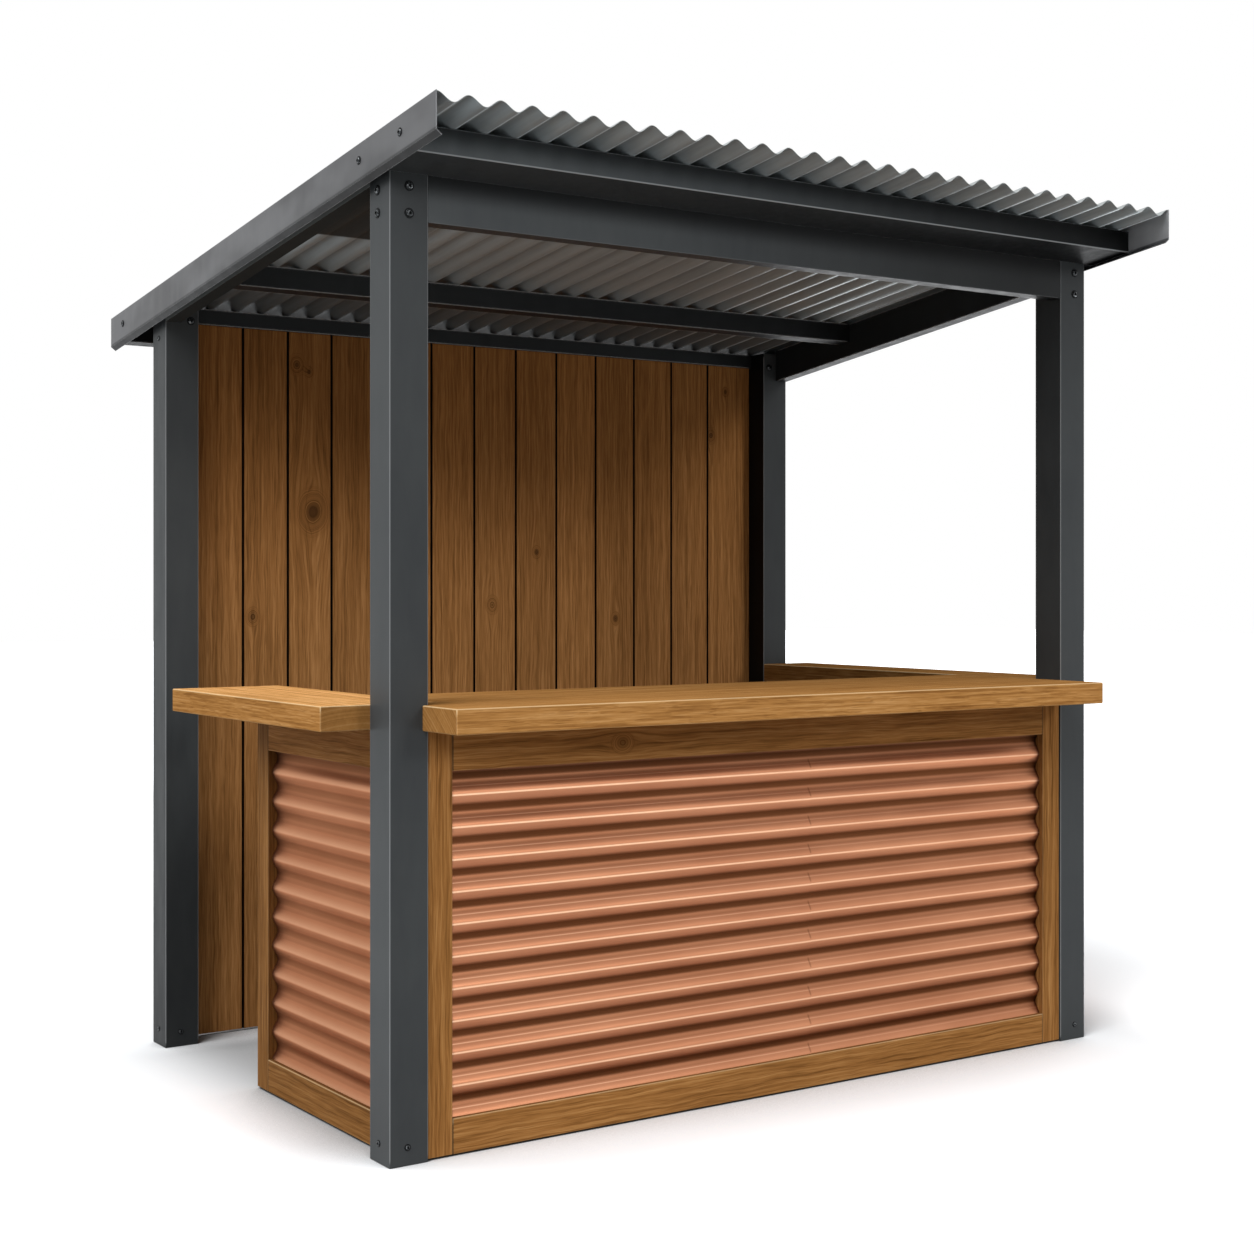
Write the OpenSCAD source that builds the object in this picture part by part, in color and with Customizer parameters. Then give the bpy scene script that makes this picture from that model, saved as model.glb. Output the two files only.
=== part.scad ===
// Outdoor bar stall: four square posts, a lean-to roof of corrugated sheet, a boarded
// back wall and a bar on three sides with timber tops and framed corrugated copper fronts.
// The front faces -Y, +Z is up and the stall stands on the plane z = 0.

/* [Posts] */
// Width of each square post
post_size = 100; // [60:5:140]
// Wall thickness of the post tube
post_wall = 3; // [2:0.5:6]
// Thickness of the plate that closes the foot of each post
foot_plate = 6; // [3:1:12]
// Width of the stall over its posts
frame_width = 2300; // [1800:10:3200]
// Depth of the stall over its posts
frame_depth = 1500; // [1200:10:2200]

/* [Roof shape] */
// Height of the sheet's crests at the front edge
roof_height = 2410; // [2300:10:2800]
// Fall of the roof towards the back, in degrees
roof_pitch = 7.35; // [4:0.05:10]
// Reach of the roof in front of the posts
front_overhang = 286; // [200:2:400]
// Reach of the roof behind the posts
rear_overhang = 258; // [200:2:400]
// Reach of the roof beyond the posts on each side
side_overhang = 36; // [20:1:80]

/* [Roof sheet] */
// Number of waves across the roof sheet
roof_waves = 29; // [20:1:40]
// Depth of the roof sheet over its waves
roof_wave_depth = 22; // [14:1:30]
// Thickness of the roof sheet
roof_gauge = 1.2; // [0.8:0.1:2]
// Setback of the sheet's front edge from the barge boards' ends
sheet_setback = 3; // [3:1:10]

/* [Roof frame] */
// Height of the purlins
purlin_height = 61; // [40:1:90]
// Width of the purlins' flanges
purlin_flange = 45; // [30:1:60]
// Thickness of the folded metal of purlins and barge boards
fold_gauge = 2.5; // [1.5:0.5:4]
// Reach inwards of the lip folded at the foot of the barge boards
barge_lip_run = 14; // [8:1:24]
// Drop of that lip
barge_lip_drop = 11; // [6:1:20]
// Setback of the front purlin's face from the roof's front edge
fascia_setback = 146; // [80:2:180]
// Height of the lip that fixes the front purlin to the front beam
fascia_lip = 34; // [20:1:40]
// Distance from the front posts' face to the middle purlin's face
middle_purlin_y = 1003; // [700:1:1100]
// Distance from the roof's rear edge to the rear purlin's face
rear_purlin_setback = 72; // [60:1:120]
// Width of the rafters between the posts
rafter_width = 45; // [30:1:60]
// Height of the left rafter
left_rafter_height = 69; // [62:1:130]
// Height of the right rafter
right_rafter_height = 108; // [80:1:130]
// Wall thickness of the tubes of beams and rafters
tube_wall = 2.5; // [2:0.5:5]
// Height of the front beam
front_beam_height = 164; // [100:1:200]
// Width of the front beam, front to back
front_beam_width = 50; // [40:1:60]
// Height of the rear beam
rear_beam_height = 46; // [30:1:60]
// Width of the rear beam, front to back
rear_beam_width = 28; // [24:1:40]

/* [Back wall] */
// Thickness of the wall boards
board_thickness = 16; // [12:1:22]
// Width of the first board on the left
first_board = 174; // [60:1:200]
// Width of each of the two narrow boards beside it
narrow_board = 146; // [100:1:200]
// Width of each of the two wide boards beside those
wide_board = 175; // [100:1:200]
// Spacing of the joints between the other boards
board_pitch = 157; // [100:1:200]
// Width of the shadow gap at each board joint
board_gap = 5; // [2:0.5:8]
// Depth of the shadow gap, on both faces of the wall
board_gap_depth = 5; // [2:0.5:5.5]
// Gap under the wall
wall_clear = 6; // [4:1:30]
// Height of the rails behind the wall
wall_rail_height = 70; // [50:1:100]
// Thickness of the rails behind the wall
wall_rail_thickness = 35; // [25:1:50]
// Distance of the lowest rail above the floor and of the highest one below the rear beam
wall_rail_inset = 160; // [80:5:300]
// Setback of the rails' ends from the posts' outer faces
wall_rail_end = 30; // [15:1:60]

/* [Counters] */
// Height of the counter tops
counter_height = 1060; // [950:5:1150]
// Thickness of the counter tops
counter_thickness = 60; // [40:1:70]
// Reach of the front counter in front of the posts
front_counter_reach = 163; // [100:1:250]
// Width of the front counter's lap over the front left post
front_counter_lap = 16; // [0:1:40]
// Distance from the front posts' face to the front counter's back edge
front_counter_back = 425; // [300:5:500]
// Reach of the left counter outside the posts
left_counter_out = 127; // [60:1:180]
// Reach of the left counter inside the posts' inner face
left_counter_in = 81; // [40:1:120]
// Length of the left counter behind the front post
left_counter_length = 919; // [800:1:1000]
// Reach of the right counter outside the posts
right_counter_out = 100; // [60:1:180]

/* [Bar panels] */
// Width of the upright stiles
stile_width = 68; // [45:1:90]
// Thickness of the timber of the panel frames
panel_thickness = 45; // [40:1:60]
// Height of the bottom rails' upper edge above the floor
bottom_rail = 88; // [60:1:120]
// Gap under the panel frames
panel_clear = 4; // [2:1:12]
// Height of the top rails
top_rail = 97; // [60:1:120]
// Setback of the front panel from the posts' front face
front_panel_setback = 6; // [0:1:20]
// Setback of the side panels from the posts' outer faces
side_panel_setback = 42; // [20:1:48]
// Length of the left panel behind the front post
left_panel_length = 743; // [500:1:780]

/* [Copper sheets] */
// Height of one wave of the copper sheets
copper_pitch = 76; // [50:1:100]
// Depth of the copper sheets over their waves
copper_depth = 16; // [12:0.2:24]
// Thickness of the copper sheets
copper_gauge = 1.2; // [0.8:0.1:2]
// Setback of the copper crests from the face of the panel frame
copper_setback = 12; // [6:1:16]
// Height of the first full crest above the bottom rail
copper_first_crest = 72; // [10:1:90]
// Length of the front left copper sheet
front_sheet_length = 1099; // [800:1:1300]
// Length of the lap of the two front copper sheets
sheet_lap = 60; // [30:1:120]

/* [Hidden] */
// Clearance of the purlins, beams and posts under the troughs of the roof sheet
sheet_clear = 0.3;
// Clearance between the two front copper sheets in their lap
lap_clear = 0.3;
// Points on one wave of a corrugated sheet
wave_points = 12;
// Overlap that carries a cut past the face it starts from
cut = 1;

// Fall of the roof per length of plan
fall = tan(roof_pitch);
// Plan positions of the roof's ends, from the front posts' face
roof_front = -front_overhang;
roof_rear = frame_depth + rear_overhang;
// Outer faces of the barge boards
barge_left = -side_overhang;
barge_right = frame_width + side_overhang;
// Vertical depth of the roof sheet, and of the barge boards' webs, which cover the purlins' ends
sheet_drop = (roof_wave_depth + sheet_clear) / cos(roof_pitch);
barge_web = sheet_drop + purlin_height + fold_gauge;
// Plan positions of the purlins' faces
fascia_y = roof_front + fascia_setback;
rear_purlin_y = roof_rear - rear_purlin_setback;
// Rear posts' front face
rear_posts_y = frame_depth - post_size;
// Inner faces of the left and right posts
inner_left = post_size;
inner_right = frame_width - post_size;
// Height of the wall and of the timber under the counters
rear_beam_top = under_z(frame_depth);
rear_beam_clear = rear_beam_top - rear_beam_height;
counter_under = counter_height - counter_thickness;
// Inner edge of the left counter
left_counter_edge = inner_left + left_counter_in;
// Seam of the front copper sheets
sheet_seam = inner_left + stile_width + front_sheet_length;

// Colours
STEEL = [0.20, 0.21, 0.22];
SHEET = [0.33, 0.32, 0.31];
COPPER = [0.72, 0.45, 0.33];
OAK = [0.66, 0.47, 0.27];
FRAME_OAK = [0.55, 0.37, 0.19];
WALL_OAK = [0.42, 0.28, 0.15];

// Height of the sheet's crests at a plan distance behind the front posts' face
function crest_z(y) = roof_height - (y - roof_front) * fall;

// Height just under the sheet's troughs there
function under_z(y) = crest_z(y) - sheet_drop;

// Puts the stall's middle over the origin
module placed() {
    translate([
        -(frame_width + right_counter_out - left_counter_out) / 2,
        -(roof_rear + roof_front) / 2,
        0
    ])
        children();
}

// Extrudes a side outline, drawn as [y, z], from x0 to x1
module across(x0, x1) {
    translate([x0, 0, 0])
        rotate([90, 0, 90])
            linear_extrude(x1 - x0)
                children();
}

// Strip of side outline that follows the roof's fall, from y0 to y1, between two heights
// measured down from the underside of the sheet
module roof_strip(y0, y1, top, bottom) {
    polygon([
        [y0, under_z(y0) - top],
        [y1, under_z(y1) - top],
        [y1, under_z(y1) - bottom],
        [y0, under_z(y0) - bottom]
    ]);
}

// Corrugated sheet in the plane x-y, its waves running along y and its crests at y-z = 0.
// The first crest lies at x = phase.
module corrugated(width, length, pitch, depth, gauge, phase = 0) {
    rise = (depth - gauge) / 2;
    steps = ceil(width / pitch * wave_points);
    xs = [for (i = [0 : steps]) min(width, i * pitch / wave_points)];
    crown = [for (x = xs) [x, rise * (cos(360 * (x - phase) / pitch) - 1)]];
    under = [for (i = [steps : -1 : 0]) crown[i] - [0, gauge]];
    translate([0, length, 0])
        rotate([90, 0, 0])
            linear_extrude(length)
                polygon(concat(crown, under));
}

// Square post tube, open at the top and closed at the foot
module post(x, y, height) {
    bore = post_size - 2 * post_wall;
    color(STEEL)
        translate([x, y, 0])
            difference() {
                cube([post_size, post_size, height]);
                translate([post_wall, post_wall, foot_plate])
                    cube([bore, bore, height]);
            }
}

// Level rectangular tube between the posts, open at its ends
module beam(y, width, z0, z1) {
    color(STEEL)
        across(inner_left, inner_right)
            difference() {
                translate([y, z0])
                    square([width, z1 - z0]);
                translate([y + tube_wall, z0 + tube_wall])
                    square([width - 2 * tube_wall, z1 - z0 - 2 * tube_wall]);
            }
}

// Sloping rectangular tube between a front and a rear post
module rafter(x, height) {
    color(STEEL)
        difference() {
            across(x, x + rafter_width)
                roof_strip(post_size, rear_posts_y, 0, height);
            across(x + tube_wall, x + rafter_width - tube_wall)
                roof_strip(post_size - cut, rear_posts_y + cut, tube_wall, height - tube_wall);
        }
}

// Folded channel, its web to the front and its flanges turned back along the fall
module purlin(y, x0, x1) {
    color(STEEL)
        across(x0, x1)
            difference() {
                roof_strip(y, y + purlin_flange, 0, purlin_height);
                roof_strip(y + fold_gauge, y + purlin_flange + cut, fold_gauge, purlin_height - fold_gauge);
            }
}

// Folded edge board: an upright web with its outer face at x and a lip at its foot, turned in
// towards the posts. side is 1 where the posts are on the web's right and -1 on its left.
module barge_board(x, side) {
    lip = norm([barge_lip_run, barge_lip_drop]);
    foot = -barge_web * cos(roof_pitch);
    length = roof_rear - roof_front;
    outline = [
        [0, 0],
        [0, foot],
        [barge_lip_run, foot - barge_lip_drop],
        [
            barge_lip_run + fold_gauge * barge_lip_drop / lip,
            foot - barge_lip_drop + fold_gauge * barge_lip_run / lip
        ],
        [fold_gauge, foot + fold_gauge * (lip - barge_lip_drop) / barge_lip_run],
        [fold_gauge, 0]
    ];
    color(STEEL)
        intersection() {
            translate([x, roof_front, roof_height])
                rotate([90 - roof_pitch, 0, 0])
                    translate([0, 0, -1.2 * length])
                        linear_extrude(1.4 * length)
                            polygon([for (p = outline) [side * p[0], p[1]]]);
            translate([x - side_overhang, roof_front, 0])
                cube([2 * side_overhang, length, 2 * roof_height]);
        }
}

// Rail behind the back wall, lapped on the rear posts
module wall_rail(z) {
    color(WALL_OAK)
        translate([wall_rail_end, frame_depth, z])
            cube([frame_width - 2 * wall_rail_end, wall_rail_thickness, wall_rail_height]);
}

// Moves a panel drawn in the plane x-z, its face to -y, to one side of the bar
module on_front() {
    translate([inner_left, front_panel_setback, 0])
        children();
}

module on_left() {
    translate([side_panel_setback, post_size + left_panel_length, 0])
        rotate([0, 0, -90])
            children();
}

module on_right() {
    translate([frame_width - side_panel_setback, post_size, 0])
        rotate([0, 0, 90])
            children();
}

// Lengths of the three panels
front_panel_length = inner_right - inner_left;
right_panel_length = rear_posts_y - post_size;

// Upright of a panel frame
module stile(x) {
    color(FRAME_OAK)
        translate([x, 0, panel_clear])
            cube([stile_width, panel_thickness, counter_under - panel_clear]);
}

// Level member of a panel frame, between its stiles
module rail(length, z, height) {
    color(FRAME_OAK)
        translate([stile_width, 0, z])
            cube([length - 2 * stile_width, panel_thickness, height]);
}

module bottom_rail(length) {
    rail(length, panel_clear, bottom_rail - panel_clear);
}

module top_rail(length) {
    rail(length, counter_under - top_rail, top_rail);
}

// Copper sheet of a panel from x0 to x1, its waves level and its crests towards -y
module copper_sheet(x0, x1, back = 0) {
    color(COPPER)
        translate([x1, copper_setback + back, bottom_rail])
            rotate([90, -90, 0])
                corrugated(
                    counter_under - top_rail - bottom_rail, x1 - x0,
                    copper_pitch, copper_depth, copper_gauge, copper_first_crest
                );
}

// Solid timber top with the outline given by its children
module counter_top() {
    color(OAK)
        translate([0, 0, counter_under])
            linear_extrude(counter_thickness)
                children();
}

module front_left_post() {
    post(0, 0, under_z(post_size));
}

module front_right_post() {
    post(inner_right, 0, under_z(post_size));
}

module rear_left_post() {
    post(0, rear_posts_y, under_z(frame_depth));
}

module rear_right_post() {
    post(inner_right, rear_posts_y, under_z(frame_depth));
}

module front_beam() {
    top = under_z(front_beam_width);
    beam(0, front_beam_width, top - front_beam_height, top);
}

module rear_beam() {
    beam(frame_depth - rear_beam_width, rear_beam_width, rear_beam_clear, rear_beam_top);
}

module left_rafter() {
    rafter(0, left_rafter_height);
}

module right_rafter() {
    rafter(frame_width - rafter_width, right_rafter_height);
}

// Fascia face, soffit and fixing lip folded from one strip, its ends held by the barge boards' webs
module front_purlin() {
    color(STEEL)
        across(barge_left + fold_gauge, barge_right - fold_gauge) {
            roof_strip(fascia_y, fascia_y + fold_gauge, 0, purlin_height);
            roof_strip(fascia_y, 0, purlin_height - fold_gauge, purlin_height);
            roof_strip(-fold_gauge, 0, purlin_height - fascia_lip, purlin_height);
        }
}

module middle_purlin() {
    purlin(middle_purlin_y, rafter_width, frame_width - rafter_width);
}

module rear_purlin() {
    purlin(rear_purlin_y, barge_left + fold_gauge, barge_right - fold_gauge);
}

module left_barge_board() {
    barge_board(barge_left, 1);
}

module right_barge_board() {
    barge_board(barge_right, -1);
}

module roof_sheet() {
    width = barge_right - barge_left - 2 * fold_gauge;
    start = roof_front + sheet_setback;
    color(SHEET)
        translate([barge_left + fold_gauge, start, crest_z(start)])
            rotate([-roof_pitch, 0, 0])
                corrugated(
                    width, (roof_rear - start) / cos(roof_pitch),
                    width / roof_waves, roof_wave_depth, roof_gauge
                );
}

// Upright boards joined edge to edge, with a shadow gap at each joint
module back_wall() {
    width = inner_right - inner_left;
    height = rear_beam_clear - wall_clear;
    narrow_end = first_board + 2 * narrow_board;
    wide_end = narrow_end + 2 * wide_board;
    joints = [
        first_board, first_board + narrow_board, narrow_end, narrow_end + wide_board,
        for (x = [wide_end : board_pitch : width - board_pitch]) x
    ];
    color(WALL_OAK)
        translate([inner_left, frame_depth - board_thickness, wall_clear])
            difference() {
                cube([width, board_thickness, height]);
                for (x = joints)
                    for (y = [-cut, board_thickness - board_gap_depth])
                        translate([x - board_gap / 2, y, -cut])
                            cube([board_gap, board_gap_depth + cut, height + 2 * cut]);
            }
}

module upper_wall_rail() {
    wall_rail(rear_beam_clear - wall_rail_inset - wall_rail_height);
}

module middle_wall_rail() {
    wall_rail((rear_beam_clear - wall_rail_height) / 2);
}

module lower_wall_rail() {
    wall_rail(wall_rail_inset);
}

module front_left_stile() {
    on_front() stile(0);
}

module front_right_stile() {
    on_front() stile(front_panel_length - stile_width);
}

module front_top_rail() {
    on_front() top_rail(front_panel_length);
}

module front_bottom_rail() {
    on_front() bottom_rail(front_panel_length);
}

// The left sheet laps over the right one at the seam
module front_left_sheet() {
    on_front() copper_sheet(stile_width, sheet_seam - inner_left);
}

module front_right_sheet() {
    on_front()
        copper_sheet(
            sheet_seam - inner_left - sheet_lap, front_panel_length - stile_width,
            copper_gauge + lap_clear
        );
}

module left_front_stile() {
    on_left() stile(left_panel_length - stile_width);
}

module left_rear_stile() {
    on_left() stile(0);
}

module left_top_rail() {
    on_left() top_rail(left_panel_length);
}

module left_bottom_rail() {
    on_left() bottom_rail(left_panel_length);
}

module left_sheet() {
    on_left() copper_sheet(stile_width, left_panel_length - stile_width);
}

module right_front_stile() {
    on_right() stile(0);
}

module right_rear_stile() {
    on_right() stile(right_panel_length - stile_width);
}

module right_top_rail() {
    on_right() top_rail(right_panel_length);
}

module right_bottom_rail() {
    on_right() bottom_rail(right_panel_length);
}

module right_sheet() {
    on_right() copper_sheet(stile_width, right_panel_length - stile_width);
}

// Notched round the front left post and butted to the left counter
module front_counter() {
    counter_top()
        polygon([
            [inner_left - front_counter_lap, -front_counter_reach],
            [inner_right, -front_counter_reach],
            [inner_right, front_counter_back],
            [left_counter_edge, front_counter_back],
            [left_counter_edge, post_size],
            [inner_left, post_size],
            [inner_left, 0],
            [inner_left - front_counter_lap, 0]
        ]);
}

module left_counter() {
    counter_top()
        translate([-left_counter_out, post_size])
            square([left_counter_out + left_counter_edge, left_counter_length]);
}

module right_counter() {
    counter_top()
        translate([inner_right, post_size])
            square([post_size + right_counter_out, right_panel_length]);
}

placed() {
    front_left_post();
    front_right_post();
    rear_left_post();
    rear_right_post();
    front_beam();
    rear_beam();
    left_rafter();
    right_rafter();
    front_purlin();
    middle_purlin();
    rear_purlin();
    left_barge_board();
    right_barge_board();
    roof_sheet();
    back_wall();
    upper_wall_rail();
    middle_wall_rail();
    lower_wall_rail();
    front_left_stile();
    front_right_stile();
    front_top_rail();
    front_bottom_rail();
    front_left_sheet();
    front_right_sheet();
    left_front_stile();
    left_rear_stile();
    left_top_rail();
    left_bottom_rail();
    left_sheet();
    right_front_stile();
    right_rear_stile();
    right_top_rail();
    right_bottom_rail();
    right_sheet();
    front_counter();
    left_counter();
    right_counter();
}
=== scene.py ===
"""Looks of an outdoor bar stall.

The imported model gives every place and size. This script adds the smooth corrugated sheets, the bolts
and screws, the materials, the floor, the light and the camera. Lengths are metres in the frame of the
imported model: X runs to the right along the bar, Y from front to back and Z up.
"""

import math

import bmesh
import bpy
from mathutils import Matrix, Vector


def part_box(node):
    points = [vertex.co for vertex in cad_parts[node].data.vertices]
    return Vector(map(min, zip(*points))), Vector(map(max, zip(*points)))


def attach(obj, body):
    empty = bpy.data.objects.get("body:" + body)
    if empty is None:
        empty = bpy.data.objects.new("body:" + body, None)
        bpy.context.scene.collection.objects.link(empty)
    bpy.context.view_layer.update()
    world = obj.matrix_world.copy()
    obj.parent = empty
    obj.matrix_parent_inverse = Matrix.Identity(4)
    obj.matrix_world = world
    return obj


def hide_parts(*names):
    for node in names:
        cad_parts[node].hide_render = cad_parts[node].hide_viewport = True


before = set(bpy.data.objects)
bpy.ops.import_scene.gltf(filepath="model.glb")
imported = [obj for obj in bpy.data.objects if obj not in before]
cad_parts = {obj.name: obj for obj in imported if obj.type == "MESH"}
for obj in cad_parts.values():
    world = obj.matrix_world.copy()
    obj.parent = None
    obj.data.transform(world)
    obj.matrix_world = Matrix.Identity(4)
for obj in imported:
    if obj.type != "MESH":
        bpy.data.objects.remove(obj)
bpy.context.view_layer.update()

# Camera, as fitted to the photograph
IMAGE_SIDE = 1254
FOCAL_PIXELS = 1930.14
SENSOR = 36.0
CAMERA_PLACE = (-3.1827, -4.6960, 1.3390)
CAMERA_YAW = 34.336
HORIZON_ABOVE_MIDDLE = 42
CAMERA_REACH = 200.0

# Sizes repeated from the part's source
ROOF_PITCH = math.radians(7.35)
ROOF_WAVES = 29
ROOF_DEPTH = 0.022
COPPER_PITCH = 0.076
COPPER_DEPTH = 0.016
COPPER_FIRST_CREST = 0.072
SHEET_GAUGE = 0.0012
FIRST_BOARD = 0.174
NARROW_BOARD = 0.146
WIDE_BOARD = 0.175
BOARD_PITCH = 0.157

# Points on one wave of a smooth sheet, and the widest angle that is still shaded smooth
WAVE_STEPS = 28
SMOOTH_ANGLE = math.radians(50)

# Outer corner of the front left post at the floor: the stall's own measures start there
ORIGIN = Vector((*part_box("front_left_post")[0].xy, 0.0))
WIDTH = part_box("front_right_post")[1].x - ORIGIN.x

STEEL_NODES = (
    "front_left_post", "front_right_post", "rear_left_post", "rear_right_post",
    "front_beam", "rear_beam", "left_rafter", "right_rafter",
    "front_purlin", "middle_purlin", "rear_purlin", "left_barge_board", "right_barge_board",
)

# Members under the roof, in a copy of the coat painted darker as shade
SHADED_STEEL = ("right_rafter", "middle_purlin", "rear_purlin", "rear_beam")


def stall(x, y, z):
    """Point given in the stall's own measures."""
    return ORIGIN + Vector((x, y, z))


def srgb(code):
    """Linear colour of a six-digit colour code."""
    parts = [int(code[i : i + 2], 16) / 255 for i in (0, 2, 4)]
    return [p / 12.92 if p <= 0.04045 else ((p + 0.055) / 1.055) ** 2.4 for p in parts]


def rgba(code):
    """The same with full cover, as the sockets take it."""
    return (*srgb(code), 1.0)


# ---------------------------------------------------------------------------------------------
# Node graphs


class Graph:
    """Node graph of a material or a world. Values may be numbers, tuples or sockets."""

    def __init__(self, owner):
        self.owner = owner
        owner.use_nodes = True
        self.tree = owner.node_tree
        self.tree.nodes.clear()

    @classmethod
    def material(cls, name):
        """Graph of a new material."""
        return cls(bpy.data.materials.new(name))

    def node(self, kind, **settings):
        """New node with its settings."""
        made = self.tree.nodes.new("ShaderNode" + kind)
        for key, value in settings.items():
            setattr(made, key, value)
        return made

    def put(self, socket, value):
        """Sets a socket to a value, or links it to another socket."""
        if isinstance(value, bpy.types.NodeSocket):
            self.tree.links.new(value, socket)
        else:
            socket.default_value = value

    def math(self, operation, *values):
        made = self.node("Math", operation=operation)
        for socket, value in zip(made.inputs, values):
            self.put(socket, value)
        return made.outputs[0]

    def add(self, a, b):
        return self.math("ADD", a, b)

    def sub(self, a, b):
        return self.math("SUBTRACT", a, b)

    def mul(self, a, b):
        return self.math("MULTIPLY", a, b)

    def vector(self, x, y, z):
        made = self.node("CombineXYZ")
        for socket, value in zip(made.inputs, (x, y, z)):
            self.put(socket, value)
        return made.outputs[0]

    def place(self):
        """Sockets of the point's x, y and z."""
        made = self.node("SeparateXYZ")
        self.put(made.inputs[0], self.node("TexCoord").outputs["Object"])
        return made.outputs[0], made.outputs[1], made.outputs[2]

    def noise(self, vector, scale=1.0, detail=2.0, rough=0.5):
        """Noise of about 0.5 in the mean."""
        made = self.node("TexNoise")
        self.put(made.inputs["Vector"], vector)
        self.put(made.inputs["Scale"], scale)
        self.put(made.inputs["Detail"], detail)
        self.put(made.inputs["Roughness"], rough)
        return made.outputs[0]

    def spread(self, value, low, high, to_low=0.0, to_high=1.0):
        """Smooth step of a value from `to_low` at `low` to `to_high` at `high`."""
        made = self.node("MapRange", interpolation_type="SMOOTHSTEP")
        for socket, item in zip(made.inputs, (value, low, high, to_low, to_high)):
            self.put(socket, item)
        return made.outputs[0]

    def ramp(self, value, *stops):
        """Colour of a value, between stops that are given as a value and a colour code."""
        made = self.node("ValToRGB")
        elements = made.color_ramp.elements
        while len(elements) < len(stops):
            elements.new(0.5)
        for element, (place, code) in zip(elements, stops):
            element.position = place
            element.color = rgba(code)
        self.put(made.inputs[0], value)
        return made.outputs[0]

    def blend(self, factor, a, b, mode="MIX"):
        """Colour a, with b over it."""
        made = self.node("Mix", data_type="RGBA", blend_type=mode)
        self.put(made.inputs[0], factor)
        self.put(made.inputs[6], a)
        self.put(made.inputs[7], b)
        return made.outputs[2]

    def bump(self, height, strength, distance, under=None):
        """Normal of a fine relief, on top of another one if that is given."""
        made = self.node("Bump")
        self.put(made.inputs["Strength"], strength)
        self.put(made.inputs["Distance"], distance)
        self.put(made.inputs["Height"], height)
        if under is not None:
            self.put(made.inputs["Normal"], under)
        return made.outputs[0]

    def edges(self, radius):
        """How far the surface turns within a radius of the point: near 1 on an arris."""
        rounded = self.node("Bevel", samples=6)
        self.put(rounded.inputs["Radius"], radius)
        dot = self.node("VectorMath", operation="DOT_PRODUCT")
        self.put(dot.inputs[0], rounded.outputs[0])
        self.put(dot.inputs[1], self.node("NewGeometry").outputs["True Normal"])
        return self.spread(dot.outputs["Value"], 0.99, 0.8)

    def arris(self, node, width):
        """1 on the arrises of a square-edged node, fading out over a width."""
        low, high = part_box(node)
        gaps = [self.to_ends(value, a, b) for value, a, b in zip(self.place(), low, high)]
        least = self.math("MINIMUM", gaps[0], gaps[1])
        most = self.math("MAXIMUM", gaps[0], gaps[1])
        second = self.math("MAXIMUM", least, self.math("MINIMUM", most, gaps[2]))
        return self.spread(second, width, width * 0.3)

    def normal(self):
        """Sockets of the surface normal's x, y and z."""
        made = self.node("SeparateXYZ")
        self.put(made.inputs[0], self.node("NewGeometry").outputs["Normal"])
        return made.outputs[0], made.outputs[1], made.outputs[2]

    def facing_down(self):
        """1 where the surface faces the floor."""
        return self.spread(self.normal()[2], -0.1, -0.5)

    def tinted(self, colour, shade):
        """Colour made lighter or darker by a factor."""
        return self.blend(1.0, colour, self.vector(shade, shade, shade), "MULTIPLY")

    def to_ends(self, value, low, high):
        """Distance of a value from the nearer of two ends."""
        return self.math("MINIMUM", self.sub(value, low), self.sub(high, value))

    def seen(self):
        """1 for rays that show the background: camera, mirror and glass rays."""
        path = self.node("LightPath")
        both = self.math("MAXIMUM", path.outputs["Is Camera Ray"], path.outputs["Is Glossy Ray"])
        return self.math("MAXIMUM", both, path.outputs["Is Transmission Ray"])

    def finish(self, colour, rough, normal=None, metal=0.0, gloss=0.5, tint="ffffff"):
        """Joins the surface to the output and gives the material."""
        shader = self.node("BsdfPrincipled")
        self.put(shader.inputs["Specular Tint"], rgba(tint))
        self.put(shader.inputs["Base Color"], colour)
        self.put(shader.inputs["Roughness"], rough)
        self.put(shader.inputs["Metallic"], metal)
        self.put(shader.inputs["Specular IOR Level"], gloss)
        if normal is not None:
            self.put(shader.inputs["Normal"], normal)
        self.put(self.node("OutputMaterial").inputs["Surface"], shader.outputs[0])
        return self.owner


# ---------------------------------------------------------------------------------------------
# Materials


# Depth of the barge boards' webs, and how far up their foot the painted shade of the fold reaches
BARGE_WEB = 0.086
BARGE_FOLD = 0.007


def barge_smudges_and_fold_shade(g, node, x, y, z):
    """Tone of a barge board: soft smudges along it, and painted shade where the fold turns at its foot.
    """
    low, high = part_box(node)
    crest = g.sub(high.z, g.mul(g.sub(y, low.y), math.tan(ROOF_PITCH)))
    above = g.add(g.sub(z, crest), BARGE_WEB)
    fold = g.spread(above, BARGE_FOLD * 0.5, BARGE_FOLD * 1.2, 0.35, 1.0)
    # What lies below the web is the lip, whose painted shade is given apart
    fold = g.math("MAXIMUM", fold, g.facing_down())
    smudge = g.noise(g.vector(x, g.mul(y, 4.5), g.mul(above, 9.0)), 1.0, 2.0)
    return g.mul(fold, g.spread(smudge, 0.66, 0.36, 0.7, 1.06))


# Height of the fascia, and of the line of wear and painted highlight along its foot
FASCIA = 0.061
FASCIA_LINE = 0.004


def fascia_foot(g, y, z):
    """1 on the fold at the foot of the fascia, where a line of wear and painted highlight runs."""
    low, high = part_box("front_purlin")
    above = g.sub(z, high.z - FASCIA)
    face = g.spread(g.sub(y, low.y), 0.003, 0.001)
    return g.mul(face, g.spread(above, FASCIA_LINE, FASCIA_LINE * 0.4))


# Tones of the powder coat: on what shows, on the barge boards, on the left rafter, and under the roof a
# copy painted darker as shade
COAT = ("3a3d3f", "454849")
BARGE_COAT = ("5e5f61", "6a6b6d")
RAFTER_COAT = ("393b3b", "404241")
SHADED_COAT = ("1c1e1f", "242627")
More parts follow.
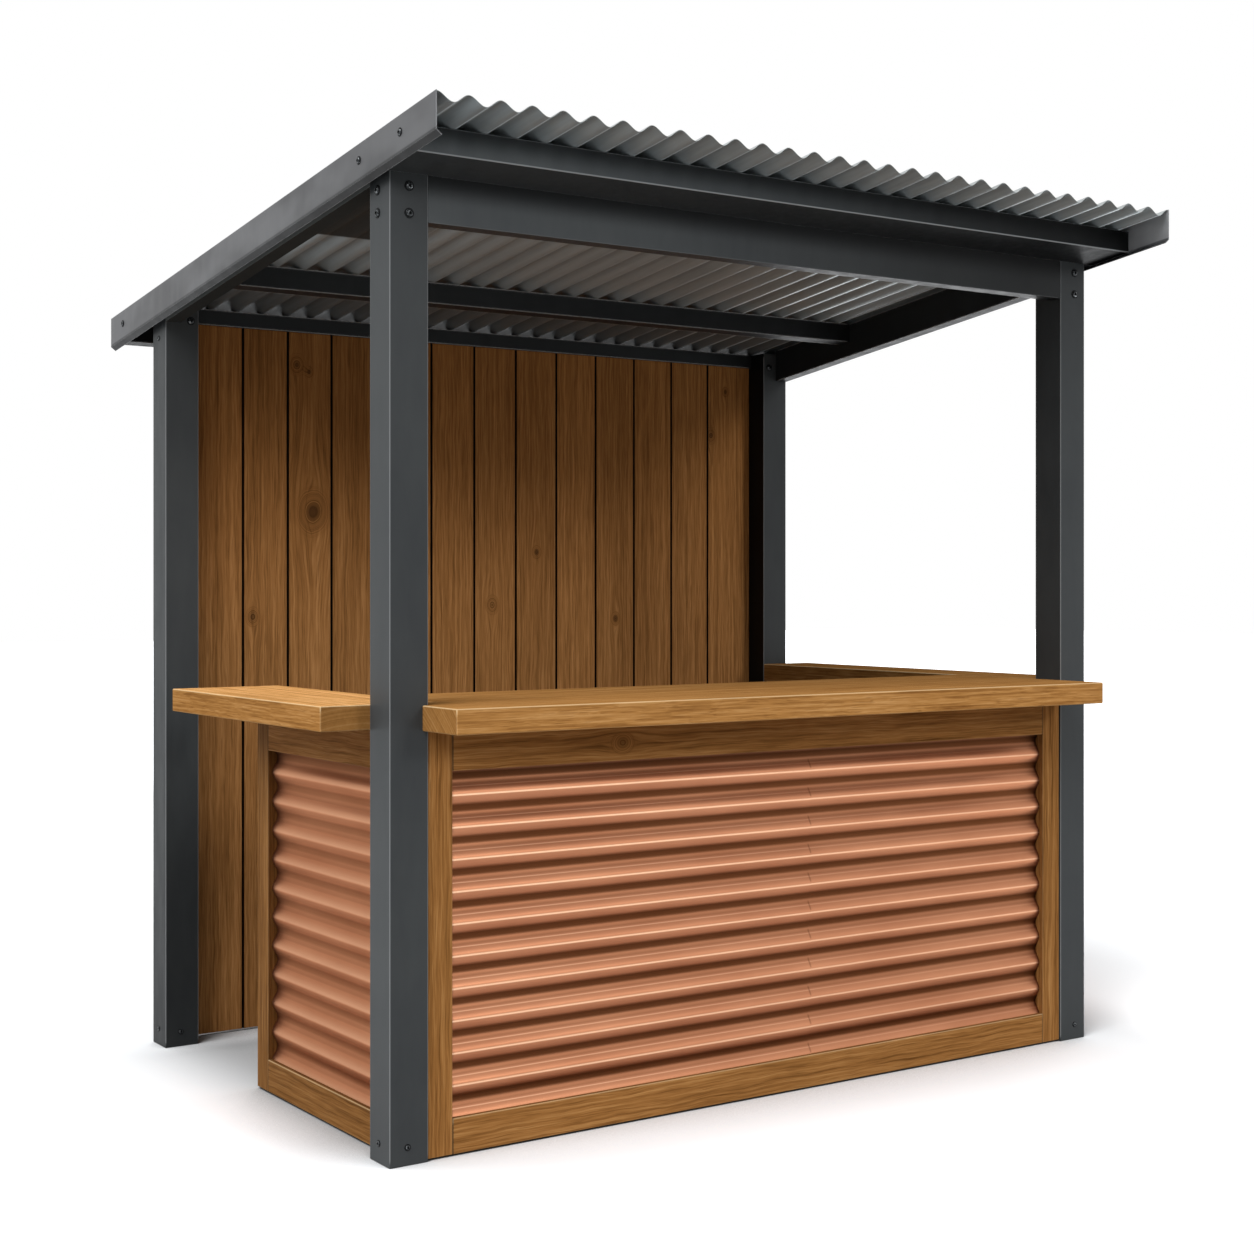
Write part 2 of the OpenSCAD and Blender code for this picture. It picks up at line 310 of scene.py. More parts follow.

# Width, strength and colour of an arris lightened as wear and painted highlight, and how far from a
# piece's end that lightening starts
POST_WEAR_AND_HIGHLIGHT = (0.003, 0.45, "a9acae")
FOLD_WEAR_AND_HIGHLIGHT = (0.0035, 0.85, "a9acae")
BEAM_WEAR_AND_HIGHLIGHT = (0.003, 0.16, "a9acae")
SHADED_WEAR_AND_HIGHLIGHT = (0.006, 0.9, "dcdedf")
END_WITHOUT_ARRIS_LINE = (0.006, 0.02)

# Coarseness of the coat's clouds, of its dust and of its orange peel
CLOUDS = 3.0
DUST = 22.0
PEEL = 750.0

# Painted light and shade on the faces that are turned to the left, next to the other faces of the same
# piece
LEFT_FACES = {
    "front_left_post": 1.13, "rear_left_post": 0.87, "front_right_post": 0.62, "rear_right_post": 0.05,
    "left_rafter": 5.3, "right_barge_board": 2.8,
}

# Painted shade under an overhang and towards the foot of the rear left post: shade at the top, shade at
# the foot and the height between the two
FASCIA_PAINTED_SHADE = (0.28, 1.1, FASCIA)
BEAM_PAINTED_SHADE = (0.1, 1.0, 0.07)
POST_PAINTED_SHADE = (1.0, 0.5, 1.3)


def overhang_painted_shade(g, node, z):
    """Painted shade on the pieces of the front that lie under others, and towards the foot of the rear
    left post.
    """
    if node == "front_purlin":
        top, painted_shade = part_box(node)[1].z, FASCIA_PAINTED_SHADE
    elif node == "front_beam":
        top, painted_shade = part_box("front_purlin")[0].z, BEAM_PAINTED_SHADE
    elif node == "rear_left_post":
        top, painted_shade = POST_PAINTED_SHADE[2], POST_PAINTED_SHADE
    else:
        return None
    upper, lower, height = painted_shade
    return g.spread(z, top, top - height, upper, lower)


def off_the_ends(g, node, place):
    """0 at the two ends of a long piece, whose arrises there get no wear and painted highlight."""
    low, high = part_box(node)
    run = max(range(3), key=lambda axis: high[axis] - low[axis])
    return g.spread(g.to_ends(place[run], low[run], high[run]), *END_WITHOUT_ARRIS_LINE)


def powder_coat(
    node, tones, metal=0.0, gloss=0.12, square=False, under=1.0, fade=None, arris_wear_and_highlight=FOLD_WEAR_AND_HIGHLIGHT
):
    """Powder coat between two tones, with a fine orange peel, faint clouding and arrises lightened as
    wear and painted highlight.

    `square` is for pieces that fill their box, `under` is the painted shade of what faces the floor,
    and `fade` gives painted light and shade from left to right.
    """
    g = Graph.material("coat_" + node)
    x, y, z = g.place()
    spot = g.vector(x, y, z)
    cloud = g.noise(spot, CLOUDS, 3.0, 0.55)
    dust = g.noise(g.vector(x, y, g.mul(z, 0.25)), DUST, 4.0, 0.6)
    peel = g.noise(spot, PEEL, 1.0)
    tone = g.add(g.mul(cloud, 0.6), g.mul(dust, 0.4))
    colour = g.ramp(tone, (0.3, tones[0]), (0.7, tones[1]))
    # Painted light on the left, fading to painted shade on the right
    if fade:
        low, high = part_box(node)
        colour = g.tinted(colour, g.spread(x, low.x, high.x, *fade))
    # Painted light and shade on the face turned to the left
    if node in LEFT_FACES:
        colour = g.tinted(colour, g.spread(g.normal()[0], -0.5, -0.9, 1.0, LEFT_FACES[node]))
    # Painted shade under the overhangs, and darker towards the foot of the rear left post
    painted_shade = overhang_painted_shade(g, node, z)
    if painted_shade:
        colour = g.tinted(colour, painted_shade)
    # Painted shade on the faces turned to the floor
    if under != 1.0:
        colour = g.tinted(colour, g.add(g.mul(g.facing_down(), under - 1.0), 1.0))
    # Smudges, and painted shade in the fold at the foot of the barge board
    if node.endswith("barge_board"):
        colour = g.tinted(colour, barge_smudges_and_fold_shade(g, node, x, y, z))
    # Arrises lightened partly as wear and partly as painted highlight
    width, strength, code = arris_wear_and_highlight
    wear_and_highlight = g.arris(node, width) if square else g.edges(width)
    if node == "front_purlin":
        wear_and_highlight = g.math("MAXIMUM", wear_and_highlight, fascia_foot(g, y, z))
    elif not node.endswith("barge_board"):
        wear_and_highlight = g.mul(wear_and_highlight, off_the_ends(g, node, (x, y, z)))
    colour = g.blend(g.mul(wear_and_highlight, strength), colour, rgba(code))
    rough = g.spread(dust, 0.3, 0.7, 0.36, 0.48)
    return g.finish(colour, rough, g.bump(peel, 0.12, 0.0004), metal, gloss)


# Tones of the zinc along its streaks, of the painted shade behind the wall and of the painted shadow in
# the front left corner
ROOF_TONES = ((0.3, "919594"), (0.55, "a9afaf"), (0.75, "b4bbbc"))
EAVES_SHADE = "1d1814"
CORNER_SHADOW = "42403d"
# The pale dust on the underside cools its colour
PALE_DUST = (1.0, 1.04, 1.08, 1.0)

# Painted shade on the underside: how much in the troughs and how much up in the flutes
TROUGH_SHADE = 0.98
FLUTE_SHADE = 0.72

# Painted glint along the lowest line of each trough on the right: how bright, and where it starts
GLINT_LINE = 1.5
GLINT_FROM = (1.60, 1.78)

# Painted light on the lip in front of the fascia: how much lighter its slopes that face right are
LIP_LIGHT = 1.1

# Painted shadow under the roof at the front left post: depth and height of its edge, the rise of that
# edge with depth, and its width
CORNER_SHADOW_DEPTH = 0.724
CORNER_SHADOW_HEIGHT = 2.2687
CORNER_SHADOW_RISE = 0.1985
CORNER_SHADOW_WIDTH = 0.44


def roof_coat():
    """Grey zinc sheet in streaks along its waves, with painted shade, painted glints, painted light on
    the lip and a painted shadow on its underside.
    """
    g = Graph.material("roof_coat")
    x, y, z = g.place()
    streak = g.noise(g.vector(g.mul(x, 40.0), g.mul(y, 1.5), g.mul(z, 1.5)), 1.0, 4.0, 0.6)
    cloud = g.noise(g.vector(x, y, z), 5.0, 3.0)
    grit = g.noise(g.vector(x, y, z), 500.0, 2.0)
    tone = g.add(g.mul(streak, 0.65), g.mul(cloud, 0.35))
    colour = g.ramp(tone, *ROOF_TONES)
    # Painted shade up in the flutes, and less of it in the troughs
    low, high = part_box("roof_sheet")
    wave = g.math("FRACT", g.math("DIVIDE", g.sub(x, low.x), (high.x - low.x) / ROOF_WAVES))
    flute = g.math("ABSOLUTE", g.sub(wave, 0.5))
    under = g.facing_down()
    painted_shade = g.sub(1.0, g.spread(flute, 0.12, 0.48, TROUGH_SHADE, FLUTE_SHADE))
    colour = g.tinted(colour, g.sub(1.0, g.mul(under, painted_shade)))
    # Painted glints along the troughs on the right, and painted light on the slopes of the lip that
    # face right
    right = g.spread(x, *[ORIGIN.x + start for start in GLINT_FROM], 0.0, GLINT_LINE)
    wear_and_glint = g.mul(g.mul(under, g.spread(flute, 0.07, 0.03)), right)
    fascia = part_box("front_purlin")[0].y
    lip = g.mul(g.spread(y, fascia + 0.004, fascia - 0.004), g.spread(g.normal()[0], 0.0, 0.4))
    lip = g.mul(g.mul(under, lip), LIP_LIGHT)
    colour = g.tinted(colour, g.add(g.add(wear_and_glint, lip), 1.0))
    colour = g.blend(under, colour, g.blend(1.0, colour, PALE_DUST, "MULTIPLY"))
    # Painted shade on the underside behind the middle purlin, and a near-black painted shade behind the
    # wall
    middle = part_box("middle_purlin")[0].y
    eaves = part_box("rear_beam")[0].y
    dimmed = g.mul(under, g.spread(y, middle, middle + 0.06))
    colour = g.tinted(colour, g.sub(1.0, g.mul(dimmed, 0.55)))
    eaves_shade = g.mul(under, g.spread(y, eaves - 0.03, eaves + 0.03))
    colour = g.blend(g.mul(eaves_shade, 0.85), colour, rgba(EAVES_SHADE))
    # Painted shadow in the front left corner, between beam and rafter
    edge = g.add(g.mul(g.sub(y, ORIGIN.y + CORNER_SHADOW_DEPTH), CORNER_SHADOW_RISE), CORNER_SHADOW_HEIGHT)
    corner_shadow = g.mul(
        g.spread(g.sub(z, edge), -0.002, 0.002),
        g.spread(x, ORIGIN.x + CORNER_SHADOW_WIDTH, ORIGIN.x + CORNER_SHADOW_WIDTH - 0.06),
    )
    corner_shadow = g.mul(g.mul(under, corner_shadow), g.spread(y, ORIGIN.y - 0.02, ORIGIN.y + 0.02))
    colour = g.blend(g.mul(corner_shadow, 0.95), colour, rgba(CORNER_SHADOW))
    unshadowed = g.sub(1.0, corner_shadow)
    rough = g.spread(tone, 0.3, 0.7, 0.5, 0.38)
    relief = g.bump(grit, 0.1, 0.0004)
    return g.finish(colour, rough, relief, metal=g.mul(unshadowed, 0.35), gloss=g.mul(unshadowed, 0.3))


class HighlightAndTarnish:
    """Where a panel's copper gets painted highlights, tarnish and painted shade.

    `start` and `end` tell how bright the painted highlight on its crests is at both ends of the panel,
    `below` and `above` how far it reaches down and up from the crest, as shares of a wave. `fold` is
    the brightness of the painted highlight on the second line, the next number the depth of the tarnish
    and painted shade, and `under` the share of it just below the crest.
    """

    def __init__(self, start, end, below, above, fold, tarnish_and_shade, under):
        self.start = start
        self.end = end
        self.below = below
        self.above = above
        self.fold = fold
        self.tarnish_and_shade = tarnish_and_shade
        self.under = under


FRONT_HIGHLIGHT_AND_TARNISH = HighlightAndTarnish(0.85, 0.4, 0.045, 0.05, 0.7, 0.9, 0.0)
SIDE_HIGHLIGHT_AND_TARNISH = HighlightAndTarnish(0.25, 0.25, 0.05, 0.30, 0.0, 0.5, 0.4)

# Tones of the copper, of its tarnish and painted shade, of the painted highlights on the second line
# and on the crests, and of its glints
COPPER_TONES = ((0.3, "a66e50"), (0.7, "b57d5d"))
TARNISH_AND_SHADE = "4a2710"
FOLD_HIGHLIGHT = "ebb795"
COPPER_HIGHLIGHT = "f6caa6"
COPPER_GLINT = "ecd0c2"

# Place of the second painted highlight line on the wave, and how far the painted shade reaches from the
# stiles and the top rail
FOLD_PLACE = 0.265
SIDE_SHADE = 0.014
TOP_SHADE = 0.05


def copper(name, lengthwise, start, end, marks, lap=None):
    """Brushed copper with painted highlights on its crests, tarnish and painted shade under each wave,
    and painted shade where it meets its frame.

    `lengthwise` is the axis the waves run along, `start` and `end` are the corners of the panel's
    sheets, and `lap` is the place of the edge of the upper sheet.
    """
    g = Graph.material(name)
    x, y, z = g.place()
    along, first, last = (x, start.x, end.x) if lengthwise == "X" else (y, start.y, end.y)
    crest_z = start.z + COPPER_FIRST_CREST
    brushed = g.noise(g.vector(g.mul(along, 3.0), g.mul(z, 900.0), 0.0), 1.0, 3.0, 0.6)
    cloud = g.noise(g.vector(g.mul(along, 2.0), g.mul(z, 9.0), 0.0), 1.0, 4.0, 0.6)
    dents = g.noise(g.vector(g.mul(along, 1.6), g.mul(z, 14.0), 0.0), 1.0, 2.0)
    # Place on the wave: 0 on a crest, rising upwards to 1 at the next one
    wave = g.math("FRACT", g.math("DIVIDE", g.sub(z, crest_z), COPPER_PITCH))
    wave = g.add(wave, g.mul(g.sub(cloud, 0.5), 0.02))
    # Tarnish in the troughs, with painted shade on the flank below each crest, which faces down
    dark = g.mul(g.spread(wave, 0.36, 0.52), g.spread(wave, 0.80, 0.66))
    dimmed = g.mul(g.spread(wave, 0.28, 0.34), g.spread(wave, 0.62, 0.50))
    tarnish_and_shade = g.math("MAXIMUM", dark, g.mul(dimmed, 0.46))
    if marks.under:
        below = g.mul(g.spread(wave, 0.66, 0.80), g.spread(wave, 0.97, 0.92))
        tarnish_and_shade = g.math("MAXIMUM", tarnish_and_shade, g.mul(below, marks.under))
    # Painted highlights along the crests
    reach = g.spread(along, first, last, marks.start, marks.end)
    wear_and_highlight = g.math(
        "MAXIMUM", g.spread(wave, marks.above, 0.0), g.spread(wave, 1.0 - marks.below, 1.0)
    )
    colour = g.blend(g.mul(tarnish_and_shade, marks.tarnish_and_shade), g.ramp(cloud, *COPPER_TONES), rgba(TARNISH_AND_SHADE))
    # Painted highlight along the second line of each wave
    if marks.fold:
        fold = g.spread(g.math("ABSOLUTE", g.sub(wave, FOLD_PLACE)), 0.022, 0.006)
        fold = g.mul(g.mul(fold, g.mul(reach, reach)), marks.fold)
        colour = g.blend(fold, colour, rgba(FOLD_HIGHLIGHT))
    colour = g.blend(g.mul(wear_and_highlight, reach), colour, rgba(COPPER_HIGHLIGHT))
    if lap is not None:
        # Painted shadow under the edge of the upper sheet, where it lifts a little
        tick = g.spread(g.math("ABSOLUTE", g.sub(along, lap)), 0.004, 0.002)
        tick = g.mul(tick, g.mul(g.spread(wave, 0.06, 0.12), g.spread(wave, 0.44, 0.34)))
        colour = g.blend(g.mul(tick, 0.4), colour, rgba(TARNISH_AND_SHADE))
    # Painted shade along the frame, deepest under the top rail
    side = g.spread(g.to_ends(along, first, last), 0.0, SIDE_SHADE, 0.55, 1.0)
    top = g.spread(g.sub(end.z, z), 0.0, TOP_SHADE, 0.45, 1.0)
    colour = g.tinted(colour, g.mul(side, top))
    rough = g.add(g.spread(brushed, 0.3, 0.7, 0.34, 0.44), g.mul(tarnish_and_shade, 0.08))
    normal = g.bump(brushed, 0.04, 0.0003, g.bump(dents, 0.15, 0.003))
    return g.finish(colour, rough, normal, metal=1.0, tint=COPPER_GLINT)


class Wood:
    """The tones of one timber, how strong its lines and its arrises lightened as wear and painted
    highlight are, and how dull it is.
    """

    def __init__(self, light, middle, dark, lines, arris, rough, gloss):
        self.light = light
        self.middle = middle
        self.dark = dark
        self.lines = lines
        self.arris = arris
        self.rough = rough
        self.gloss = gloss


COUNTER_WOOD = Wood("d3a066", "b98449", "7a4d24", 1.2, 0.6, 0.46, 0.0)
FRAME_WOOD = Wood("bf8c54", "a4713d", "623d1a", 1.15, 0.3, 0.5, 0.02)
WALL_WOOD = Wood("ba844e", "9e6b3a", "583617", 0.9, 0.0, 0.55, 0.03)

# Widths of the growth rings and of those round a knot, and the colour of a knot's heart
RING_WIDTH = 0.007
KNOT_RING = 0.003
KNOT_HEART = "25140a"

# How often the grain's streaks, lines, fibres and strokes change in a metre, along and across it
STREAKS = (0.9, 50.0)
LINES = (3.0, 150.0)
FIBRES = (14.0, 430.0)
STROKES = (10.0, 400.0)

# Each timber and each board is cut from another stretch of the same grain
TIMBER_STEP = 7.3
BOARD_STEP = 3.7

# Shade of end grain, painted shade on the side faces of a frame's pieces, and the tint of the painted
# light on an upper face
END_SHADE = 0.66
EDGE_SHADE = 0.6
TOP_LIGHT_TINT = (1.0, 1.07, 1.25, 1.0)

# Arrises lightened as wear and painted highlight, and dirt in the joints of the rails and of the
# boards: widths and colours
WOOD_ARRIS = 0.0036
WOOD_WEAR_AND_HIGHLIGHT = "f3d8aa"
RAIL_JOINT = (0.0015, 0.0045)
BOARD_JOINT = (0.0055, 0.003)
JOINT_DIRT = "0d0703"


def grain(g, wood, along, wide, deep, pith, knots, tone, end=0.0):
    """Colour, roughness and relief of solid wood: growth rings round a pith, lines, pores and knots.

    `end` is 1 on end grain, which shows the rings alone.
    """
    slow = g.noise(g.vector(g.mul(along, 0.8), g.mul(wide, 3.0), g.mul(deep, 3.0)), 1.0, 2.0)
    ripple = g.noise(g.vector(g.mul(along, 7.0), g.mul(wide, 18.0), g.mul(deep, 18.0)), 1.0, 2.0)
    # The grain parts round each knot and closes again behind it
    bent = g.add(wide, g.mul(g.sub(ripple, 0.5), 0.014))
    heart = whorl = circles = 0.0
    for place_along, place_wide, size, darkness in knots:
        run = g.math("DIVIDE", g.sub(along, place_along), size * 1.25)
        off = g.sub(wide, place_wide)
        side = g.math("DIVIDE", off, size)
        across = g.mul(side, side)
        near = g.add(g.mul(run, run), across)
        far = g.add(g.mul(g.mul(run, run), 0.16), across)
        bent = g.sub(bent, g.mul(off, g.math("EXPONENT", g.mul(far, -0.45))))
        reach = g.add(g.math("SQRT", near), g.mul(g.sub(ripple, 0.5), 0.5))
        whorl = g.math("MAXIMUM", whorl, g.spread(reach, 1.8, 0.9))
        circles = g.add(circles, g.mul(g.math("MINIMUM", reach, 2.0), size / KNOT_RING))
        heart = g.math("MAXIMUM", heart, g.mul(g.spread(reach, 0.75, 0.25), darkness))

    def stretched(run, cross, detail):
        """Noise drawn out along the grain."""
        return g.noise(
            g.vector(g.mul(along, run), g.mul(bent, cross), g.mul(deep, cross)), 1.0, detail, 0.6
        )

    from_wide = g.sub(bent, pith[0])
    from_deep = g.sub(deep, pith[1])
    radius = g.math("SQRT", g.add(g.mul(from_wide, from_wide), g.mul(from_deep, from_deep)))
    radius = g.add(radius, g.mul(g.sub(slow, 0.5), 0.06))
    count = g.math("DIVIDE", radius, RING_WIDTH)
    rings = g.noise(g.vector(count, g.mul(along, 0.3), 0.0), 1.0, 3.0, 0.6)
    streak = stretched(*STREAKS, 3.0)
    line = stretched(*LINES, 2.0)
    fibre = stretched(*FIBRES, 2.0)
    strokes = g.spread(stretched(*STROKES, 1.0), 0.58, 0.70)
    lengthwise = g.sub(1.0, g.mul(end, 0.85))
    depth = g.mul(g.sub(rings, 0.5), g.add(g.mul(end, 0.7), 0.5))
    depth = g.add(depth, g.mul(g.sub(streak, 0.5), 0.25))
    drawn = g.add(g.mul(g.sub(line, 0.5), wood.lines), g.mul(g.sub(fibre, 0.5), 0.6))
    depth = g.add(g.add(depth, g.mul(drawn, lengthwise)), 0.5)
    if knots:
        turned = g.noise(g.vector(circles, 0.0, 0.0), 1.0, 1.0)
        turned = g.add(g.mul(g.sub(turned, 0.5), 1.3), 0.62)
        depth = g.add(g.mul(depth, g.sub(1.0, whorl)), g.mul(turned, whorl))
    colour = g.ramp(depth, (0.15, wood.light), (0.48, wood.middle), (0.95, wood.dark))
    colour = g.blend(g.mul(g.mul(strokes, lengthwise), 0.4), colour, rgba(wood.dark))
    if knots:
        colour = g.blend(heart, colour, rgba(KNOT_HEART))
    shade = g.add(tone, g.mul(g.sub(slow, 0.5), 0.3))
    colour = g.tinted(colour, shade)
    rough = g.add(g.mul(depth, 0.14), wood.rough - 0.04)
    height = g.sub(g.mul(fibre, -0.6), g.add(g.mul(rings, 0.4), strokes))
    return colour, rough, g.bump(height, 0.22, 0.0006)


# Axes along a timber, across its face and through it
AXES = {"X": (0, 1, 2), "x": (0, 2, 1), "Y": (1, 0, 2), "y": (1, 2, 0), "Z": (2, 0, 1), "z": (2, 1, 0)}


def timber(node, wood, axis, pith, seed, tone=1.0, knots=(), top_light=1.0, left_face=1.0):
    """Material of one timber, its grain along the axis. A small letter swaps the two other axes.

    The last two arguments are the painted light and shade of its upper face and of the one turned to
    the left.
    """
    low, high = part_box(node)
    middle = (low + high) / 2
    g = Graph.material("timber_" + node)
    place = g.place()
    run, wide, deep = AXES[axis]
    along = g.sub(place[run], middle[run] - TIMBER_STEP * seed)
    moved = [(a + TIMBER_STEP * seed, *rest) for a, *rest in knots]
    facing = g.normal()
    end = g.spread(g.math("ABSOLUTE", facing[run]), 0.7, 0.9)
    colour, rough, normal = grain(
        g, wood, along, g.sub(place[wide], middle[wide]), g.sub(place[deep], middle[deep]),
        pith, moved, tone, end,
    )
    # End grain drinks more oil and is darker; an upper face gets painted light on the left counter and
    # painted shade on the others; a frame's side faces get painted shade
    shade = g.sub(1.0, g.mul(end, 1.0 - END_SHADE))
    upwards = g.spread(facing[2], 0.7, 0.9)
    shade = g.mul(shade, g.add(g.mul(upwards, top_light - 1.0), 1.0))
    if top_light > 1.0:
        colour = g.blend(upwards, colour, g.blend(1.0, colour, TOP_LIGHT_TINT, "MULTIPLY"))
    if wood is FRAME_WOOD:
        # Painted shade on the side faces of a frame's pieces, towards the copper
        edge = g.spread(g.math("ABSOLUTE", facing[wide]), 0.7, 0.9, 1.0, EDGE_SHADE)
        shade = g.mul(shade, edge)
        if run != 2:
            # The joint between a rail and its stiles
            gap = g.to_ends(place[run], low[run], high[run])
            shade = g.mul(shade, g.spread(gap, *RAIL_JOINT, 0.3, 1.0))
    # Painted shade on the face turned to the left
    if left_face != 1.0:
        shade = g.mul(shade, g.spread(facing[0], -0.7, -0.9, 1.0, left_face))
    colour = g.tinted(colour, shade)
    # The upper arrises, which hands and glasses rub, are lightened as wear and painted highlight
    upper = g.spread(place[2], high.z - 0.02, high.z - 0.004, 0.2, 1.0)
    wear_and_highlight = g.mul(g.mul(g.arris(node, WOOD_ARRIS), upper), wood.arris)
    colour = g.blend(wear_and_highlight, colour, rgba(WOOD_WEAR_AND_HIGHLIGHT))
    return g.finish(colour, rough, normal, gloss=wood.gloss)


def board_joints(low, high):
    """Places of the wall's joints from left to right."""
    widths = [FIRST_BOARD] + [NARROW_BOARD] * 2 + [WIDE_BOARD] * 2
    joints = [low.x + sum(widths[: i + 1]) for i in range(len(widths))]
    while joints[-1] + 2 * BOARD_PITCH <= high.x + 0.0005:
        joints.append(joints[-1] + BOARD_PITCH)
    return joints


# Heights on the wall where the painted daylight begins and where it is full, and the seed of the
# boards' cuts
DAYLIGHT = (2.0, 1.1)
BOARD_SEED = 17.0


def wall_boards(knots):
    """Material of the boarded wall: each board has its own cut, tone and run of the grain."""
    low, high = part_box("back_wall")
    joints = board_joints(low, high)
    middles = [(a + b) / 2 for a, b in zip([low.x] + joints, joints + [high.x])]
    g = Graph.material("wall_boards")
    x, y, z = g.place()
    # Number and middle of the board under the point, and the distance to the nearest joint
    board, middle, nearest = 0.0, middles[0], 1.0
    for joint, here, after in zip(joints, middles, middles[1:]):
        passed = g.math("GREATER_THAN", x, joint)
        board = g.add(passed, board)
        middle = g.add(g.mul(passed, after - here), middle)
        nearest = g.math("MINIMUM", nearest, g.math("ABSOLUTE", g.sub(x, joint)))
    dice = g.node("TexWhiteNoise", noise_dimensions="1D")
    g.put(dice.inputs["W"], g.add(board, BOARD_SEED))
    parts = g.node("SeparateColor")
    g.put(parts.inputs[0], dice.outputs["Color"])
    first, second, third = parts.outputs
    wide = g.sub(x, middle)
    deep = g.add(g.sub(y, low.y), g.mul(second, 0.3))
    # The pith lies behind the face, nearer in some boards than in others
    pith = (
        g.mul(g.sub(first, 0.5), 0.13),
        g.add(g.mul(second, 0.3), g.add(g.mul(third, 0.06), 0.025)),
    )
    along = g.add(z, g.mul(board, BOARD_STEP))
    moved = []
    for place_x, place_z, *rest in knots:
        index = sum(place_x > joint for joint in joints)
        moved.append((place_z + BOARD_STEP * index, place_x - middles[index], *rest))
    tone = g.add(g.mul(third, 0.2), 0.88)
    # Painted light where the open front lets the daylight in: lighter low down and towards the right
    tone = g.mul(tone, g.spread(z, *DAYLIGHT, 0.95, 1.14))
    tone = g.mul(tone, g.spread(x, middles[3], middles[5], 1.0, 1.2))
    colour, rough, normal = grain(g, WALL_WOOD, along, wide, deep, pith, moved, tone)
    # The painted daylight also greys it low down
    grey = g.spread(z, *DAYLIGHT)
    grey = g.vector(1.0, g.add(g.mul(grey, 0.05), 1.0), g.add(g.mul(grey, 0.14), 1.0))
    colour = g.blend(1.0, colour, grey, "MULTIPLY")
    # Dirt and shade in the joints
    colour = g.blend(g.spread(nearest, *BOARD_JOINT), colour, rgba(JOINT_DIRT))
    return g.finish(colour, rough, normal, gloss=WALL_WOOD.gloss)


# Tones of the bolt heads, with bright specks, and of the washers and sockets, near-black as painted
# shade; coarseness of their wear
BOLT_TONES = ((0.35, "1e2021"), (0.58, "3a3d3f"), (0.7, "a9adaf"))
WASHER_SHADE_TONES = ((0.3, "0f1011"), (0.7, "1d1f20"))
BOLT_WEAR = 260.0


def bolt_steel():
    """Plated steel of the bolt heads."""
    g = Graph.material("bolt_steel")
    x, y, z = g.place()
    wear_and_glint = g.noise(g.vector(x, y, z), BOLT_WEAR, 3.0)
    colour = g.ramp(wear_and_glint, *BOLT_TONES)
    return g.finish(colour, g.spread(wear_and_glint, 0.3, 0.7, 0.28, 0.42), metal=0.7)


def washer_and_socket_shade():
    """Blackened steel of the washers, darker still as painted shade round the heads, and painted shade
    in the heads' sockets.
    """
    g = Graph.material("washer_and_socket_shade")
    x, y, z = g.place()
    wear_and_glint = g.noise(g.vector(x, y, z), BOLT_WEAR, 3.0)
    colour = g.ramp(wear_and_glint, *WASHER_SHADE_TONES)
    return g.finish(colour, 0.5, metal=0.3, gloss=0.1)


# ---------------------------------------------------------------------------------------------
# Meshes


def add_piece(mesh, slot, material, *replaced):
    """Adds a mesh as a piece that rides on the stall."""
    mesh.materials.append(material)
    piece = bpy.data.objects.new(mesh.name, mesh)
    bpy.context.scene.collection.objects.link(piece)
    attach(piece, "root")
    if replaced:
        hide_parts(*replaced)


def wave_sheet(name, corner, across, along, face, width, length, pitch, depth, phase):
    """Smooth corrugated sheet with its thickness. `face` points out of the crests."""
    rise = (depth - SHEET_GAUGE) / 2
    steps = math.ceil(width / pitch * WAVE_STEPS)
    made = bmesh.new()
    rows = []
    for sunk in (0.0, SHEET_GAUGE):
        for end in (0.0, length):
            row = []
            for i in range(steps + 1):
                x = min(width, i * pitch / WAVE_STEPS)
                height = rise * (math.cos(2 * math.pi * (x - phase) / pitch) - 1) - sunk
                row.append(made.verts.new(corner + across * x + along * end + face * height))
            rows.append(row)
    crown_start, crown_end, under_start, under_end = rows
    for a, b in (
        (crown_start, crown_end), (crown_end, under_end),
        (under_end, under_start), (under_start, crown_start),
    ):
        for i in range(steps):
            made.faces.new((a[i], a[i + 1], b[i + 1], b[i]))
    for i in (0, steps):
        made.faces.new((crown_start[i], crown_end[i], under_end[i], under_start[i]))
    bmesh.ops.recalc_face_normals(made, faces=made.faces)
    mesh = bpy.data.meshes.new(name)
    made.to_mesh(mesh)
    made.free()
    mesh.shade_smooth()
    mesh.set_sharp_from_angle(angle=SMOOTH_ANGLE)
    return mesh


def roof(material):
    """Smooth roof sheet, its waves down the slope."""
    low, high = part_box("roof_sheet")
    fall = Vector((0.0, math.cos(ROOF_PITCH), -math.sin(ROOF_PITCH)))
    face = Vector((0.0, math.sin(ROOF_PITCH), math.cos(ROOF_PITCH)))
    start = low.y + ROOF_DEPTH * math.sin(ROOF_PITCH)
    width = high.x - low.x
    mesh = wave_sheet(
        "corrugated_roof", Vector((low.x, start, high.z)), Vector((1, 0, 0)), fall, face,
        width, (high.y - start) / math.cos(ROOF_PITCH), width / ROOF_WAVES, ROOF_DEPTH, 0.0,
    )
    add_piece(mesh, "roof_sheet", material, "roof_sheet")


def copper_front(node, material):
    """Copper sheet of the front panel, its crests towards the front."""
    low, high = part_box(node)
    mesh = wave_sheet(
        "waves_" + node, Vector((low.x, low.y, low.z)), Vector((0, 0, 1)), Vector((1, 0, 0)),
        Vector((0, -1, 0)), high.z - low.z, high.x - low.x, COPPER_PITCH, COPPER_DEPTH,
        COPPER_FIRST_CREST,
    )
    add_piece(mesh, "copper", material, node)


